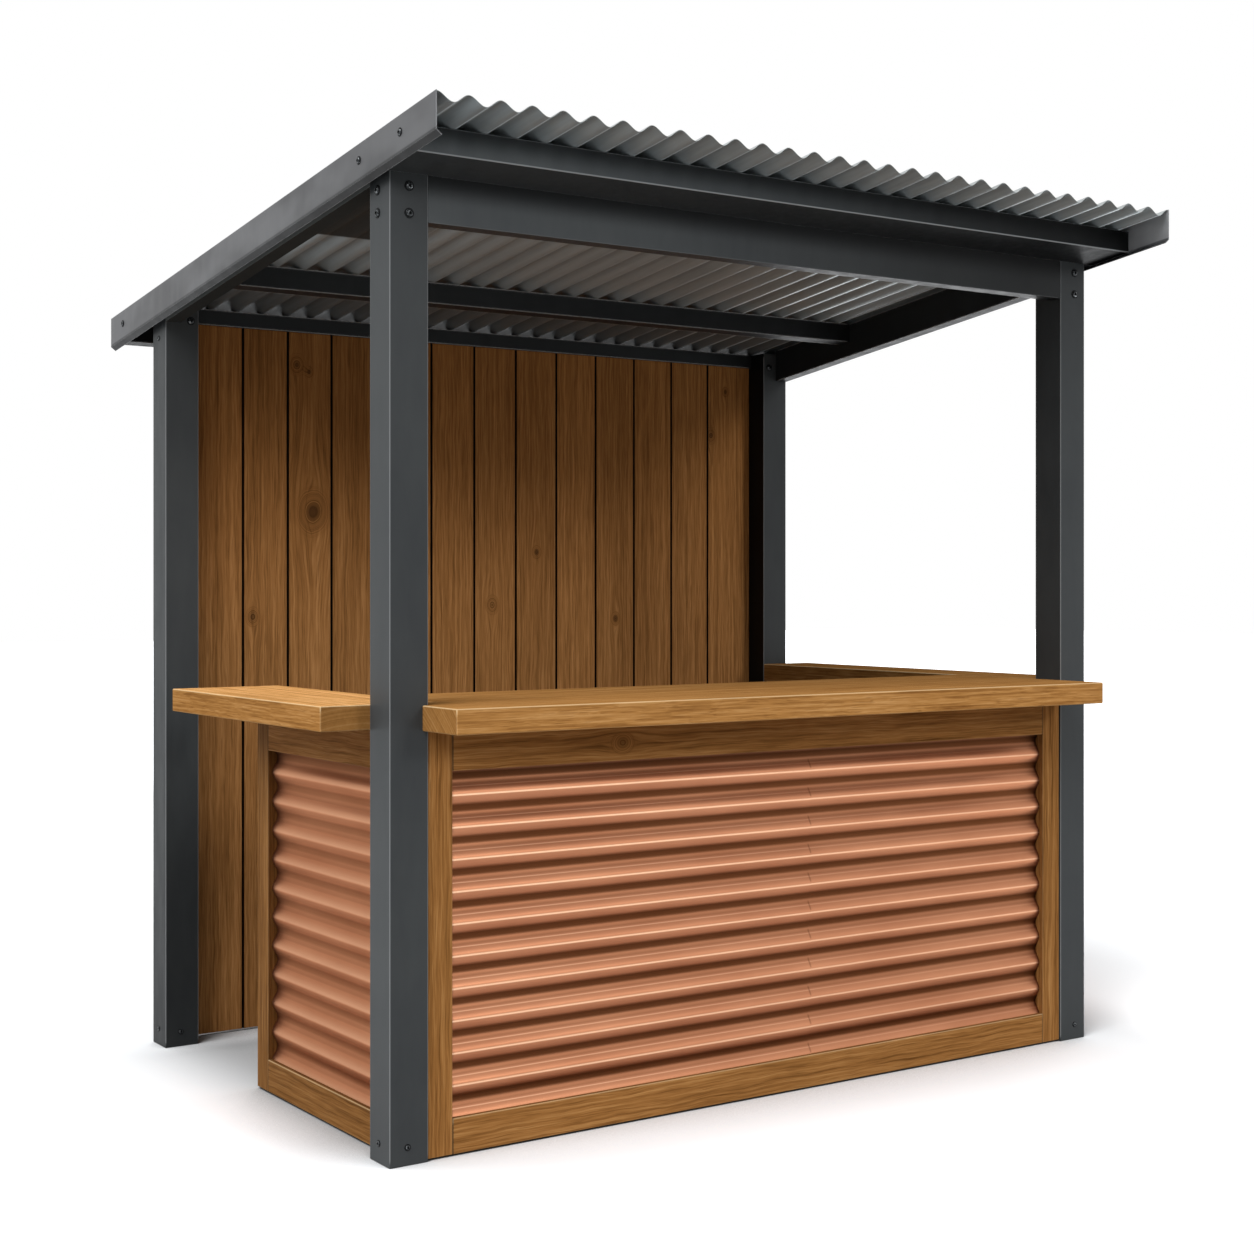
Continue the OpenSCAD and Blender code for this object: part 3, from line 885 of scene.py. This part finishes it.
def copper_side(node, outward, material):
    """Copper sheet of a side panel, its crests towards the outside."""
    low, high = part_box(node)
    crest = low.x if outward < 0 else high.x
    mesh = wave_sheet(
        "waves_" + node, Vector((crest, low.y, low.z)), Vector((0, 0, 1)), Vector((0, 1, 0)),
        Vector((outward, 0, 0)), high.z - low.z, high.y - low.y, COPPER_PITCH, COPPER_DEPTH,
        COPPER_FIRST_CREST,
    )
    add_piece(mesh, "copper", material, node)


# Sides of a bolt head, and the widest angle on it that is still shaded smooth
HEAD_SIDES = 24
HEAD_ANGLE = math.radians(35)
# Rings of a button head on its washer, as shares of the head's radius and height
HEAD_RINGS = (
    (1.35, 0.0), (1.35, 0.2), (1.0, 0.22), (1.0, 0.42), (0.93, 0.66), (0.78, 0.88), (0.58, 1.0),
)
WASHER_RINGS = 2
SOCKET_SHARE = 0.48
SOCKET_FLOOR = 0.35


def button_head(made, place, out, radius, height):
    """Domed head with a hexagon socket, on a washer, on a face whose normal is `out`."""
    side = out.orthogonal().normalized()
    up = out.cross(side)
    rings = []

    def ring(share, lift, hexagon=False):
        """Adds a ring of points, as shares of the head's radius and height."""
        points = []
        for i in range(HEAD_SIDES):
            turn = 2 * math.pi * i / HEAD_SIDES
            reach = radius * share
            if hexagon:
                sector = turn % (math.pi / 3) - math.pi / 6
                reach *= math.cos(math.pi / 6) / math.cos(sector)
            flat = side * math.cos(turn) + up * math.sin(turn)
            points.append(made.verts.new(place + flat * reach + out * height * lift))
        rings.append(points)

    for share, lift in HEAD_RINGS:
        ring(share, lift)
    ring(SOCKET_SHARE, 1.0, True)
    ring(SOCKET_SHARE, SOCKET_FLOOR, True)
    for number, (a, b) in enumerate(zip(rings, rings[1:])):
        # The washers and the sockets take the dark material, as painted shade
        dark = number < WASHER_RINGS or number == len(HEAD_RINGS)
        for i in range(HEAD_SIDES):
            j = (i + 1) % HEAD_SIDES
            made.faces.new((a[i], a[j], b[j], b[i])).material_index = int(dark)
    made.faces.new(rings[-1]).material_index = 1
    made.faces.new(rings[0][::-1]).material_index = 1


def fasteners(name, places, radius, height, head, washer_shade):
    """One piece for a family of heads, each given as its place and the normal of the face under it."""
    made = bmesh.new()
    for place, out in places:
        button_head(made, place, Vector(out), radius, height)
    bmesh.ops.recalc_face_normals(made, faces=made.faces)
    mesh = bpy.data.meshes.new(name)
    made.to_mesh(mesh)
    made.free()
    mesh.shade_smooth()
    mesh.set_sharp_from_angle(angle=HEAD_ANGLE)
    add_piece(mesh, "powder_coated_steel", head)
    mesh.materials.append(washer_shade)


FRONT = (0, -1, 0)
LEFT = (-1, 0, 0)
RIGHT = (1, 0, 0)

# Radius and height of the heads
POST_BOLT = (0.0090, 0.0055)
FOOT_SCREW = (0.0060, 0.0035)
BARGE_SCREW = (0.0075, 0.0045)

# Heads on the sides and fronts of the front posts, and on the rear posts: distance from the corner, on
# the left and on the right where it differs, and height
SIDE_BOLT_IN = 0.060
SIDE_BOLT_HEIGHTS = (2.254, 2.201)
FRONT_BOLT_IN = (0.050, 0.042)
FRONT_BOLT_HEIGHTS = (2.260, 2.197)
REAR_BOLT_IN = 0.076
REAR_BOLT_HEIGHT = 2.108

# The same for the screws at the feet, and the height of the screws near the tops of the rear posts
SIDE_SCREW_IN = 0.055
SIDE_SCREW_HEIGHT = 0.046
FRONT_SCREW_IN = (0.046, 0.042)
FRONT_SCREW_HEIGHT = 0.042
REAR_SCREW_HEIGHT = 2.058

# How far below its upper edge a barge board is screwed, and where along the roof
BARGE_SCREW_DROP = 0.039
BARGE_SCREW_RUN = (-0.119, 0.085, 1.655)


def bolts():
    """Heads at the tops and feet of the posts and along the barge boards."""
    steels = (bolt_steel(), washer_and_socket_shade())
    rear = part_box("rear_left_post")[0].y - ORIGIN.y
    tops = []
    for x, out in ((0.0, LEFT), (WIDTH, RIGHT)):
        tops += [(stall(x, SIDE_BOLT_IN, z), out) for z in SIDE_BOLT_HEIGHTS]
    for x in (FRONT_BOLT_IN[0], WIDTH - FRONT_BOLT_IN[1]):
        tops += [(stall(x, 0.0, z), FRONT) for z in FRONT_BOLT_HEIGHTS]
    for x in (REAR_BOLT_IN, WIDTH - REAR_BOLT_IN):
        tops.append((stall(x, rear, REAR_BOLT_HEIGHT), FRONT))
    fasteners("post_bolts", tops, *POST_BOLT, *steels)

    feet = []
    for x, out in ((0.0, LEFT), (WIDTH, RIGHT)):
        sides = (SIDE_SCREW_IN, rear + SIDE_SCREW_IN)
        feet += [(stall(x, y, SIDE_SCREW_HEIGHT), out) for y in sides]
        feet.append((stall(x, rear + SIDE_SCREW_IN, REAR_SCREW_HEIGHT), out))
    for x in (FRONT_SCREW_IN[0], WIDTH - FRONT_SCREW_IN[1]):
        feet += [(stall(x, y, FRONT_SCREW_HEIGHT), FRONT) for y in (0.0, rear)]
    fasteners("foot_screws", feet, *FOOT_SCREW, *steels)

    barge = []
    low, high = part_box("left_barge_board")
    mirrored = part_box("right_barge_board")[1].x
    for y in BARGE_SCREW_RUN:
        run = stall(0, y, 0).y
        z = high.z - (run - low.y) * math.tan(ROOF_PITCH) - BARGE_SCREW_DROP
        barge.append((Vector((low.x, run, z)), LEFT))
        barge.append((Vector((mirrored, run, z)), RIGHT))
    fasteners("barge_screws", barge, *BARGE_SCREW, *steels)


# Points that are welded, faces that are joined and arrises that are rounded in a CAD node
WELD_DISTANCE = 0.00005
FLAT_ANGLE = math.radians(1)
ARRIS_ANGLE = math.radians(40)
ARRIS_SEGMENTS = 2


def soften(node, width):
    """Rounds a CAD node's arrises."""
    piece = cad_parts[node]
    weld = piece.modifiers.new("weld", "WELD")
    weld.merge_threshold = WELD_DISTANCE
    flat = piece.modifiers.new("flat", "DECIMATE")
    flat.decimate_type = "DISSOLVE"
    flat.angle_limit = FLAT_ANGLE
    bevel = piece.modifiers.new("arris", "BEVEL")
    bevel.width = width
    bevel.segments = ARRIS_SEGMENTS
    bevel.limit_method = "ANGLE"
    bevel.angle_limit = ARRIS_ANGLE


def cover(node, material):
    """Gives a CAD node its material."""
    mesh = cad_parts[node].data
    mesh.materials.clear()
    mesh.materials.append(material)


# ---------------------------------------------------------------------------------------------
# The stall

# Widths of the rounded arrises
POST_ROUND = 0.0025
FOLD_ROUND = 0.0006
COUNTER_ROUND = 0.003
FRAME_ROUND = 0.0018
BOARD_ROUND = 0.001

# Painted light and shade along the long members across the stall, from left to right
PURLIN_FADE = (1.15, 0.4)
FASCIA_FADE = (1.9, 0.12)
BEAM_FADE = (1.95, 0.3)


def steelwork():
    """Coats the posts, beams, rafters, purlins and barge boards."""
    for node in STEEL_NODES:
        if node.endswith("barge_board"):
            coat = powder_coat(node, BARGE_COAT, metal=0.4, gloss=0.3, under=0.2)
        elif node == "left_rafter":
            coat = powder_coat(node, RAFTER_COAT, gloss=0.0, arris_wear_and_highlight=BEAM_WEAR_AND_HIGHLIGHT)
        elif node in SHADED_STEEL:
            fade = PURLIN_FADE if node == "middle_purlin" else None
            coat = powder_coat(node, SHADED_COAT, under=0.8, arris_wear_and_highlight=SHADED_WEAR_AND_HIGHLIGHT, fade=fade)
        elif node == "front_purlin":
            coat = powder_coat(node, COAT, gloss=0.06, under=0.42, fade=FASCIA_FADE)
        elif node == "front_beam":
            coat = powder_coat(node, COAT, square=True, under=0.35, fade=BEAM_FADE, arris_wear_and_highlight=BEAM_WEAR_AND_HIGHLIGHT)
        else:
            coat = powder_coat(node, COAT, square=True, arris_wear_and_highlight=POST_WEAR_AND_HIGHLIGHT)
        cover(node, coat)
        soften(node, POST_ROUND if node.endswith("post") else FOLD_ROUND)


def sheets():
    """Puts the smooth sheets in the place of the CAD's own."""
    roof(roof_coat())
    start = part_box("front_left_sheet")[0]
    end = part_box("front_right_sheet")[1]
    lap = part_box("front_left_sheet")[1].x
    front = copper("copper_front", "X", start, end, FRONT_HIGHLIGHT_AND_TARNISH, lap)
    copper_front("front_left_sheet", front)
    copper_front("front_right_sheet", front)
    for node, outward in (("left_sheet", -1), ("right_sheet", 1)):
        side = copper("copper_" + node, "Y", *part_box(node), SIDE_HIGHLIGHT_AND_TARNISH)
        copper_side(node, outward, side)


# Painted light and shade on the upper face, and painted shade on the left face, of the counters
FACE_SHADES = {
    "front_counter": (0.92, 1.0), "left_counter": (1.62, 0.88), "right_counter": (0.9, 0.4),
}


def woodwork():
    """Gives each timber its cut: wood, axis of the grain, place of the pith, seed, tone and knots."""
    cuts = (
        ("front_counter", COUNTER_WOOD, "X", (0.10, -0.42), 1.0, 1.07, ()),
        ("left_counter", COUNTER_WOOD, "Y", (-0.05, -0.30), 2.0, 1.0, ()),
        ("right_counter", COUNTER_WOOD, "Y", (0.06, -0.34), 3.0, 1.0, ()),
        ("front_top_rail", FRAME_WOOD, "x", (0.01, 0.06), 4.0, 0.95, ((-0.50, -0.004, 0.020, 0.3),)),
        ("front_bottom_rail", FRAME_WOOD, "x", (-0.04, 0.09), 5.0, 1.05, ()),
        ("front_left_stile", FRAME_WOOD, "Z", (0.05, 0.08), 6.0, 1.0, ()),
        ("front_right_stile", FRAME_WOOD, "Z", (-0.04, 0.07), 7.0, 1.0, ()),
        ("left_top_rail", FRAME_WOOD, "y", (0.02, -0.08), 8.0, 0.95, ()),
        # The left panel's bottom rail and stiles are painted darker as shade
        ("left_bottom_rail", FRAME_WOOD, "y", (-0.03, -0.07), 9.0, 0.58, ()),
        ("left_front_stile", FRAME_WOOD, "z", (0.04, -0.08), 10.0, 0.58, ()),
        ("left_rear_stile", FRAME_WOOD, "z", (-0.03, -0.08), 11.0, 0.58, ()),
        ("right_top_rail", FRAME_WOOD, "y", (0.03, 0.08), 12.0, 0.95, ()),
        ("right_bottom_rail", FRAME_WOOD, "y", (-0.02, 0.07), 13.0, 1.0, ()),
        ("right_front_stile", FRAME_WOOD, "z", (0.04, 0.08), 14.0, 1.0, ()),
        ("right_rear_stile", FRAME_WOOD, "z", (-0.03, 0.08), 15.0, 1.0, ()),
        ("upper_wall_rail", WALL_WOOD, "x", (0.03, -0.06), 16.0, 1.0, ()),
        ("middle_wall_rail", WALL_WOOD, "x", (-0.03, -0.07), 17.0, 1.0, ()),
        ("lower_wall_rail", WALL_WOOD, "x", (0.01, -0.06), 18.0, 1.0, ()),
    )
    for node, wood, axis, pith, seed, tone, knots in cuts:
        top_light, left_face = FACE_SHADES.get(node, (1.0, 1.0))
        cover(node, timber(node, wood, axis, pith, seed, tone, knots, top_light, left_face))
        soften(node, COUNTER_ROUND if node.endswith("counter") else FRAME_ROUND)
    # Knots of the wall: place across and up, size and darkness
    knots = [
        (*stall(x, 0, z).xz, size, darkness)
        for x, z, size, darkness in (
            (0.504, 1.563, 0.040, 0.65), (0.306, 1.243, 0.017, 0.6), (0.450, 2.012, 0.020, 0.5),
            (0.490, 1.993, 0.012, 0.6), (1.310, 1.448, 0.014, 0.7), (1.625, 1.225, 0.014, 0.6),
            (2.030, 1.865, 0.018, 0.6), (2.094, 2.022, 0.012, 0.5), (1.140, 1.274, 0.018, 0.3),
        )
    ]
    cover("back_wall", wall_boards(knots))
    soften("back_wall", BOARD_ROUND)


# ---------------------------------------------------------------------------------------------
# Floor, light and camera

# Half the side of the floor, how far it lies below the feet, its white and what it gives back
FLOOR_REACH = 40.0
FLOOR_DROP = 0.0006
FLOOR_WHITE = 1.15
FLOOR_BOUNCE = 0.35
# Reach of the painted shade close to the stall, painted shade inside it, and the painted light in its
# shadow on the right
SHADE_REACH = 0.8
INSIDE_SHADE = 0.4
SHADOW_FILL = 1.5

# Soft light of the surroundings: level at the horizon, what is added straight above, and a broad
# bright part of the sky with its direction, its strength and its narrowness
HORIZON_LIGHT = 0.12
ZENITH_LIGHT = 0.25
SKY_SIDE = (-0.76, -0.30, 0.58)
SKY_LIGHT = 0.8
SKY_FOCUS = 2.5

# Lamps: where the light comes from, strength, and width in degrees
KEY_LAMP = ((-0.66, -0.27, 0.70), 2.2, 45)
FRONT_LAMP = ((0.30, -0.88, 0.37), 0.55, 15)


def floor():
    """White floor, to rays that show the background. The light it gives back to the stall is weaker."""
    made = bmesh.new()
    bmesh.ops.create_grid(made, x_segments=2, y_segments=2, size=FLOOR_REACH)
    mesh = bpy.data.meshes.new("floor")
    made.to_mesh(mesh)
    made.free()
    plane = bpy.data.objects.new("floor", mesh)
    plane.location.z = -FLOOR_DROP
    bpy.context.scene.collection.objects.link(plane)
    g = Graph.material("floor_white")
    diffuse = g.node("BsdfDiffuse")
    # Painted shade: the floor close to the stall is darker where the stall hides the surroundings
    corner = g.node("AmbientOcclusion", samples=8)
    g.put(corner.inputs["Distance"], SHADE_REACH)
    open_floor = g.spread(corner.outputs["AO"], 0.15, 0.75, 0.15, FLOOR_WHITE)
    x, y, _ = g.place()
    low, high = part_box("front_left_post")[0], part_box("rear_right_post")[1]
    # Painted shade on the floor inside the stall
    inside = g.mul(g.spread(x, low.x - 0.2, low.x + 0.2), g.spread(x, high.x + 0.1, high.x - 0.2))
    inside = g.mul(inside, g.mul(g.spread(y, low.y, low.y + 0.3), g.spread(y, high.y, high.y - 0.2)))
    open_floor = g.mul(open_floor, g.sub(1.0, g.mul(inside, 1.0 - INSIDE_SHADE)))
    # Painted light lifts the long shadow on the right
    open_floor = g.mul(open_floor, g.spread(x, high.x + 0.1, high.x + 0.5, 1.0, SHADOW_FILL))
    shown = g.vector(g.mul(open_floor, 0.98), open_floor, g.mul(open_floor, 1.02))
    shade = g.blend(g.seen(), (*[FLOOR_BOUNCE] * 3, 1.0), shown)
    g.put(diffuse.inputs["Color"], shade)
    g.put(g.node("OutputMaterial").inputs["Surface"], diffuse.outputs[0])
    mesh.materials.append(g.owner)


def lamp(name, towards, strength, angle):
    """Soft sun whose light comes from the direction `towards`."""
    data = bpy.data.lights.new(name, "SUN")
    data.energy = strength
    data.angle = math.radians(angle)
    made = bpy.data.objects.new(name, data)
    made.rotation_mode = "QUATERNION"
    made.rotation_quaternion = Vector(towards).to_track_quat("Z", "Y")
    bpy.context.scene.collection.objects.link(made)


def light():
    """Surroundings that are white to the eye and light the stall softly, mostly from the upper left."""
    world = bpy.data.worlds.new("studio")
    bpy.context.scene.world = world
    g = Graph(world)
    towards = g.node("TexCoord").outputs["Generated"]
    height = g.node("SeparateXYZ")
    g.put(height.inputs[0], towards)
    dot = g.node("VectorMath", operation="DOT_PRODUCT")
    g.put(dot.inputs[0], towards)
    g.put(dot.inputs[1], Vector(SKY_SIDE).normalized())
    side = g.math("POWER", g.math("MAXIMUM", dot.outputs["Value"], 0.0), SKY_FOCUS)
    level = g.add(g.mul(g.math("MAXIMUM", height.outputs["Z"], 0.0), ZENITH_LIGHT), HORIZON_LIGHT)
    level = g.add(level, g.mul(side, SKY_LIGHT))
    seen = g.seen()
    strength = g.add(g.mul(level, g.sub(1.0, seen)), seen)
    shown = g.node("Background")
    g.put(shown.inputs["Color"], (1.0, 1.0, 1.0, 1.0))
    g.put(shown.inputs["Strength"], strength)
    g.put(g.node("OutputWorld").inputs["Surface"], shown.outputs[0])
    lamp("key", *KEY_LAMP)
    lamp("front", *FRONT_LAMP)


def camera():
    """Level camera with a shifted frame, so that uprights stay upright."""
    data = bpy.data.cameras.new("photo_camera")
    data.sensor_width = SENSOR
    data.lens = FOCAL_PIXELS / IMAGE_SIDE * SENSOR
    data.shift_y = -HORIZON_ABOVE_MIDDLE / IMAGE_SIDE
    data.clip_end = CAMERA_REACH
    made = bpy.data.objects.new("photo_camera", data)
    made.location = CAMERA_PLACE
    made.rotation_euler = (math.radians(90), 0.0, math.radians(-CAMERA_YAW))
    bpy.context.scene.collection.objects.link(made)
    bpy.context.scene.camera = made


bpy.context.scene.view_settings.view_transform = "Standard"
camera()
steelwork()
sheets()
woodwork()
bolts()
floor()
light()

bpy.context.view_layer.update()
